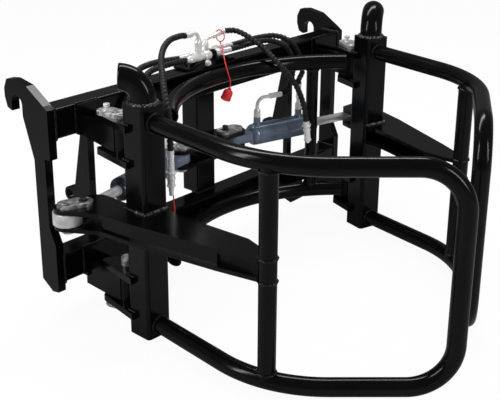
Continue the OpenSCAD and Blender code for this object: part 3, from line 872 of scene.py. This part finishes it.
# Places of the frame's welds: the beams' ends, the plates on them, the hinge
# brackets' pads, the clevis plates on the centre post, and the rest tubes.
BEAM_END = 0.5325
BEAM_BOTTOMS = (0.094, 0.460)
BEAM_BACK = 0.0608
INNER_FACES = (0.3747, 0.3953)
PAD_EDGES = (0.4075, 0.4745)
PAD_FACE = -0.0008
PAD_TOPS = (0.5345, 0.1685)
POST_SIDE = 0.0356
POST_ENDS = (0.4595, 0.1685)
CLEVIS_INNER_FACES = (0.311, 0.279)
REST_HEIGHTS = (0.510, 0.131)
STRUT_ENDS = (0.1520, 0.4890)
runs = []
for side in (-1, 1):
    for low in BEAM_BOTTOMS:
        loop_of_beam = [(-0.0005, low - 0.0005), (-0.0005, low + 0.0745), (0.0605, low + 0.0745),
                        (0.0605, low - 0.0005)]
        runs.append(bead_run([(side * BEAM_END, y, z) for y, z in loop_of_beam], True))
        for x in INNER_FACES:
            runs.append(bead_run([(side * x, BEAM_BACK, low), (side * x, BEAM_BACK, low + 0.07)]))
    for x in PAD_EDGES:
        runs.append(bead_run([(side * x, PAD_FACE, 0.462), (side * x, PAD_FACE, 0.533)]))
        runs.append(bead_run([(side * x, PAD_FACE, 0.096), (side * x, PAD_FACE, 0.166)]))
    for z in PAD_TOPS:
        runs.append(bead_run([(side * PAD_EDGES[1], PAD_FACE, z), (side * PAD_EDGES[0], PAD_FACE, z)]))
    for z in CLEVIS_INNER_FACES:
        runs.append(bead_run([(side * POST_SIDE, 0.0385, z), (side * POST_SIDE, 0.082, z)]))
    for z in POST_ENDS:
        runs.append(bead_run([(side * POST_SIDE, 0.0375, z), (side * POST_SIDE, 0.060, z)]))
for z in POST_ENDS:
    runs.append(bead_run([(-POST_SIDE, 0.0374, z), (POST_SIDE, 0.0374, z)]))
for z in REST_HEIGHTS:
    for lift in (-0.0075, 0.0075):
        runs.append(bead_run([(-0.075, -0.0030, z + lift), (0.075, -0.0030, z + lift)]))
strut_low, strut_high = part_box("rest_strut")
middle = (strut_low + strut_high) / 2
for z in STRUT_ENDS:
    runs.append(bead_ring((middle.x, middle.y, z), STRUT_BEAD_RING, (1, 0, 0), (0, 1, 0)))
weld("frame_welds", "root", runs, BEAD_R, bead_black)


# Bolts. Each flag plate is held by one short hexagon bolt with a washer, and
# every pin shows its turned, chamfered end in the middle of the plate.
UPPER_FLAG_Z = 0.532
LOWER_FLAG_Z = 0.035
LOWER_PIN_TOP = 0.170
CYLINDER_FLAG_Z = 0.329
HINGE_BOLT = (-0.010, 0.040)
ROD_PIN = (-0.122, 0.060)
ROD_BOLT = (-0.086, 0.046)
BASE_PIN = (0.105, 0.030)
BASE_BOLT = (0.0693, 0.032)
HINGE_STAND = 0.007
BASE_STAND = 0.004
down = (0, 0, -1)
bolt_black = plated_material("blackened_bolt", (0.10, 0.10, 0.10), (0.03, 0.03, 0.03), 0.3)


def flag_bolt(name, body, place, facing, finish, stand=0.0):
    """Washer at place and a hexagon head over it, stand metres further out."""
    washer = lathe("washer", [(0.0, 0.0100), (0.0003, 0.0105), (0.0017, 0.0105), (0.002, 0.0100)])
    neck = lathe("neck", [(0.0018, 0.0045), (0.0030 + stand, 0.0045)])
    head = hexagon("head", 0.002 + stand, 0.0085 + stand, 0.0085)
    piece = join(name, [washer, neck, head])
    paint(piece, finish)
    set_down(piece, place, facing, 0.4)
    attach(piece, body)


def pin_end(name, body, place, facing):
    """Chamfered end of a pin with its lathe centre, standing on a flag plate."""
    piece = lathe(name, [
        (-0.001, 0.0149), (0.0012, 0.0149), (0.0026, 0.0132), (0.0022, 0.0040), (0.0012, 0.0028)])
    paint(piece, galvanised)
    set_down(piece, place, facing)
    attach(piece, body)


for side, outward in (("left", -1), ("right", 1)):
    arm = side + "_arm"
    bolt_place = arm_point(side, *HINGE_BOLT, UPPER_FLAG_Z)
    flag_bolt(side + "_upper_hinge_bolt", arm, bolt_place, up, zinc, HINGE_STAND)
    pin_end(side + "_upper_hinge_pin_end", arm, arm_point(side, 0, 0, UPPER_FLAG_Z), up)
    flag_bolt(side + "_lower_hinge_bolt", arm, arm_point(side, *HINGE_BOLT, LOWER_FLAG_Z), down, galvanised)
    pin_end(side + "_lower_hinge_pin_end", arm, arm_point(side, 0, 0, LOWER_PIN_TOP), up)
    flag_bolt(side + "_rod_pin_bolt", arm, arm_point(side, *ROD_BOLT, CYLINDER_FLAG_Z), up, bolt_black)
    pin_end(side + "_rod_pin_end", arm, arm_point(side, *ROD_PIN, CYLINDER_FLAG_Z), up)
    bolt_place = (outward * BASE_BOLT[0], BASE_BOLT[1], CYLINDER_FLAG_Z)
    flag_bolt(side + "_base_pin_bolt", "root", bolt_place, up, bolt_black, BASE_STAND)
    pin_end(side + "_base_pin_end", "root", (outward * BASE_PIN[0], BASE_PIN[1], CYLINDER_FLAG_Z), up)


# Cylinders. Barrels in glossy blue-grey paint with a forged eye, glands that
# hold the wiper rings in a darker blue-grey that is painted shade, hard chromed
# rods and bright forged rod eyes.
ROD_R = 0.0125
ROD_LENGTH = 0.300
ROD_EYE_BORE = 0.0246
BARREL_R = 0.031
BARREL_START = 0.055
BARREL_END = 0.262
BORE_R = 0.0255
EYE_H = 0.031
EYE_R = 0.0238
EYE_BORE = 0.0154
RING_R = 0.0345
FRONT_PORT = 0.076
REAR_PORT = 0.220
PORT_TOP = 0.051
CYLINDER_Z = 0.295
BARREL_BASE = {
    "left": Vector((-BASE_PIN[0], BASE_PIN[1], CYLINDER_Z)),
    "right": Vector((BASE_PIN[0], BASE_PIN[1], CYLINDER_Z)),
}
BARREL_WAY = {
    "left": Vector((-0.98035, -0.19725, 0)),
    "right": Vector((0.96503, -0.26218, 0)),
}


def cylinder_paint_material():
    material, air = new_material("blue_grey_paint")
    place = air.node("ShaderNodeTexCoord", {}, {}, "Object")
    cloud = air.node("ShaderNodeTexNoise", {}, {"Vector": place, "Scale": 14.0, "Detail": 4.0})
    tint = ramp(cloud, [(0.3, (0.11, 0.15, 0.21)), (0.75, (0.20, 0.25, 0.33))])
    peel = air.node("ShaderNodeTexNoise", {}, {"Vector": place, "Scale": 300.0})
    bump = bumps(peel, 0.06, 0.0006)
    return finish_material(material, air.node("ShaderNodeBsdfPrincipled", {}, {
        "Base Color": tint, "Metallic": 0.3, "Roughness": 0.20 + cloud * 0.12, "Coat Weight": 0.6,
        "Coat Roughness": 0.08, "Normal": bump}))


def port_place(side, s, height):
    """Point over a barrel's middle line at s from its base pin, and the barrel's way."""
    way = BARREL_WAY[side]
    return BARREL_BASE[side] + way * s + Vector((0, 0, height)), way


def barrel_place(side):
    """Matrix of a barrel's own frame: Z along the barrel from its base pin, X upward."""
    base, way = port_place(side, 0.0, 0.0)
    turned = Matrix((Vector(up), way.cross(Vector(up)), way)).transposed().to_4x4()
    return Matrix.Translation(base) @ turned


def open_bore(piece):
    """Takes the two end faces off a turned piece and joins the rims with a bore."""
    select_faces(piece, [face for face in piece.data.polygons if len(face.vertices) > 4])
    bpy.ops.object.mode_set(mode="EDIT")
    bpy.ops.mesh.select_mode(type="FACE")
    bpy.ops.mesh.delete(type="ONLY_FACE")
    bpy.ops.mesh.select_mode(type="EDGE")
    bpy.ops.mesh.select_all(action="DESELECT")
    bpy.ops.mesh.select_non_manifold()
    bpy.ops.mesh.bridge_edge_loops()
    bpy.ops.mesh.select_all(action="SELECT")
    bpy.ops.mesh.normals_make_consistent(inside=False)
    bpy.ops.object.mode_set(mode="OBJECT")
    bpy.ops.object.shade_smooth_by_angle(angle=math.radians(35))
    return piece


def forged_eye(name, reach, radius, bore):
    """Eye round the X axis with a bar along Z, every edge rounded as on a drop forging."""
    skin = bmesh.new()
    turns = [math.radians(a) for a in range(20, -201, -10)]
    bow = [(radius * math.cos(turn), radius * math.sin(turn)) for turn in turns]
    outline = [(radius * 0.84, reach)] + bow + [(-radius * 0.84, reach)]
    base = [skin.verts.new((-EYE_H / 2, y, z)) for y, z in outline]
    low = skin.faces.new(base)
    grown = bmesh.ops.extrude_face_region(skin, geom=[low])
    top = [item for item in grown["geom"] if isinstance(item, bmesh.types.BMVert)]
    bmesh.ops.translate(skin, verts=top, vec=(EYE_H, 0, 0))
    bmesh.ops.recalc_face_normals(skin, faces=skin.faces[:])
    piece = piece_from(skin, name)
    deselect()
    bpy.ops.mesh.primitive_cylinder_add(vertices=48, radius=bore, depth=0.1,
                                        rotation=(0, math.radians(90), 0))
    drill = bpy.context.object
    bpy.ops.object.transform_apply(location=True, rotation=True, scale=True)
    pick(piece)
    edge = piece.modifiers.new("forged_edges", "BEVEL")
    edge.width = 0.0065
    edge.segments = 4
    edge.limit_method = "ANGLE"
    edge.angle_limit = math.radians(50)
    bpy.ops.object.modifier_apply(modifier=edge.name)
    hole = piece.modifiers.new("pin_hole", "BOOLEAN")
    hole.operation = "DIFFERENCE"
    hole.object = drill
    hole.solver = "EXACT"
    bpy.ops.object.modifier_apply(modifier=hole.name)
    bpy.data.objects.remove(drill)
    bpy.ops.object.shade_smooth_by_angle(angle=math.radians(40))
    return piece


barrel_paint = cylinder_paint_material()
# The glands' darker blue-grey is painted shade: the barrel's paint darkened as on its shaded end.
gland_painted_shade = plated_material("gland_painted_shade_blue_grey", (0.07, 0.09, 0.11), (0.03, 0.04, 0.05), 0.2)
chrome = plated_material("hard_chrome", (0.98, 0.98, 1.0), (0.92, 0.93, 0.96), 0.10, 0.6)
rod_eye_metal = plated_material("forged_zinc", (0.78, 0.78, 0.77), (0.50, 0.50, 0.50), 0.26, 0.5)


def dress_barrel(side):
    """Painted shell with its bore, the forged eye and two port bosses."""
    start = BARREL_START
    end = BARREL_END
    skin_r = BARREL_R - 0.0004
    shell = lathe("shell", [
        (start - 0.004, 0.0215), (start - 0.001, 0.0262), (start + 0.003, 0.0290), (start + 0.007, 0.0302),
        (start + 0.013, 0.0305), (start + 0.0136, 0.0293), (start + 0.0150, 0.0293), (start + 0.0156, skin_r),
        (end - 0.008, skin_r), (end - 0.0012, skin_r), (end, BARREL_R - 0.0014), (end, BORE_R),
        (start + 0.012, BORE_R),
    ], 64)
    parts = [shell, forged_eye("eye", start + 0.002, EYE_R, EYE_BORE)]
    for s in (FRONT_PORT, REAR_PORT):
        boss = lathe("boss", [
            (0.028, 0.0128), (0.0310, 0.0118), (0.0330, 0.0102), (0.0350, 0.0099), (0.0498, 0.0099),
            (PORT_TOP, 0.0088)])
        parts.append(set_down(boss, (0, 0, s), (1, 0, 0)))
    barrel = join(side + "_cylinder_barrel", parts)
    barrel.data.transform(barrel_place(side))
    paint(barrel, barrel_paint)
    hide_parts(side + "_barrel")
    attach(barrel, side + "_barrel")


def dress_gland(side):
    """Gland with its spigot in the barrel and the wiper's lip round the rod."""
    end = BARREL_END
    inner = ROD_R + 0.0003
    spigot = BORE_R - 0.0003
    gland = open_bore(lathe(side + "_cylinder_gland", [
        (end - 0.034, inner), (end - 0.034, spigot), (end - 0.0006, spigot), (end + 0.0006, 0.0292),
        (end + 0.0016, 0.0300), (end + 0.0070, 0.0300), (end + 0.0085, 0.0285), (end + 0.0090, 0.0225),
        (end + 0.0115, 0.0215), (end + 0.0120, 0.0166), (end + 0.0132, 0.0158), (end + 0.0132, inner),
    ], 64))
    gland.data.transform(barrel_place(side))
    paint(gland, gland_painted_shade)
    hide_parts(side + "_gland")
    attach(gland, side + "_barrel")
    # The piston gets the same darker blue-grey, which is painted shade.
    paint(nodes[side + "_piston"], gland_painted_shade)


def dress_rod(side):
    """Chromed rod with a shoulder, and the forged ring round the arm's rod pin."""
    base, way = port_place(side, 0.0, 0.0)
    pin = arm_point(side, *ROD_PIN, base.z)
    reach = (pin - base).length
    foot = reach - ROD_LENGTH
    shaft = lathe("shaft", [
        (foot, ROD_R - 0.001), (foot + 0.001, ROD_R), (reach - 0.044, ROD_R),
        (reach - 0.0425, ROD_R + 0.0025), (reach - 0.036, ROD_R + 0.0042), (reach - 0.030, ROD_R + 0.0042),
    ], 48)
    shaft.data.transform(barrel_place(side))
    paint(shaft, chrome)
    ring = open_bore(lathe("ring", [
        (-0.0155, ROD_EYE_BORE), (-0.0155, 0.0330), (-0.0140, RING_R), (-0.0070, RING_R), (0.0070, RING_R),
        (0.0140, RING_R), (0.0155, 0.0330), (0.0155, ROD_EYE_BORE)], 64))
    paint(ring, rod_eye_metal)
    set_down(ring, pin)
    rod = join(side + "_cylinder_rod", [shaft, ring])
    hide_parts(side + "_rod")
    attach(rod, side + "_rod")


for side in ("left", "right"):
    dress_barrel(side)
    dress_gland(side)
    dress_rod(side)


# Cylinder hoses. Four short hoses in the same spiral guard, from the tees over
# the upper beam to the barrels' ports.
FRONT_HOSE_END = (0.159, 0.106)
REAR_HOSE_END = (REAR_PORT, 0.128)
cylinder_routes = {
    "left": (
        [(-0.0905, 0.020, 0.560), (-0.130, 0.020, 0.562), (-0.167, 0.019, 0.562), (-0.201, 0.015, 0.562),
         (-0.237, 0.006, 0.558), (-0.268, -0.008, 0.543), (-0.290, -0.012, 0.515), (-0.299, -0.014, 0.480),
         (-0.298, -0.014, 0.448), (-0.286, -0.010, 0.422)],
        [(-0.090, 0.048, 0.560), (-0.126, 0.048, 0.563), (-0.174, 0.044, 0.567), (-0.209, 0.038, 0.568),
         (-0.244, 0.028, 0.567), (-0.276, 0.012, 0.559), (-0.302, -0.009, 0.540), (-0.322, -0.014, 0.512),
         (-0.334, -0.017, 0.482), (-0.337, -0.020, 0.452)]),
    "right": (
        [(0.077, 0.020, 0.560), (0.117, 0.020, 0.560), (0.162, 0.020, 0.561), (0.208, 0.016, 0.561),
         (0.245, 0.006, 0.554), (0.275, -0.008, 0.537), (0.299, -0.011, 0.510), (0.307, -0.013, 0.474),
         (0.304, -0.013, 0.445), (0.287, -0.009, 0.421)],
        [(0.112, 0.048, 0.560), (0.152, 0.048, 0.561), (0.195, 0.046, 0.563), (0.235, 0.040, 0.564),
         (0.268, 0.028, 0.563), (0.292, 0.010, 0.555), (0.308, -0.008, 0.539), (0.325, -0.014, 0.514),
         (0.337, -0.018, 0.481), (0.339, -0.022, 0.452)]),
}
elbow_line = [(0, 0.020), (0, 0.032), (0.002, 0.041), (0.009, 0.050), (0.019, 0.0545), (0.030, 0.055),
              (0.046, 0.055)]
for side, (front, rear) in cylinder_routes.items():
    tip, way = port_place(side, *FRONT_HOSE_END)
    front = front[:-1] + [tuple(tip + way * 0.022 + Vector((0, 0, 0.006))), tuple(tip)]
    top, way = port_place(side, *REAR_HOSE_END)
    rear = rear + [tuple(top + Vector((0, 0, 0.012))), tuple(top)]
    port, way = port_place(side, FRONT_PORT, PORT_TOP)
    lift = Vector(up)
    fitting(side + "_front_port_fitting", side + "_barrel", [
        set_down(lathe("seat", [(-0.003, 0.0088), (0.002, 0.0088)]), port),
        swivel_nut(port, up, 0.024, 0.0104),
        elbow([port + way * along + lift * high for along, high in elbow_line]),
        crimped_end(port + way * 0.083 + lift * 0.055, -way, 0.041),
    ])
    port, way = port_place(side, REAR_PORT, PORT_TOP)
    fitting(side + "_rear_port_fitting", side + "_barrel", [
        set_down(lathe("seat", [(-0.003, 0.0088), (0.002, 0.0088)]), port),
        swivel_nut(port, up, 0.022, 0.0104),
        set_down(lathe("neck", [(0.018, 0.0062), (0.036, 0.0062)]), port),
        crimped_end(port + lift * 0.034, up, 0.043),
    ])
    for label, route in (("front", front), ("rear", rear)):
        path, length = smooth_path(route, RING_STEP)
        hose = sweep_tube(side + "_" + label + "_cylinder_hose", path, guard_radius, 18)
        paint(hose, hose_black)
        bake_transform(hose)
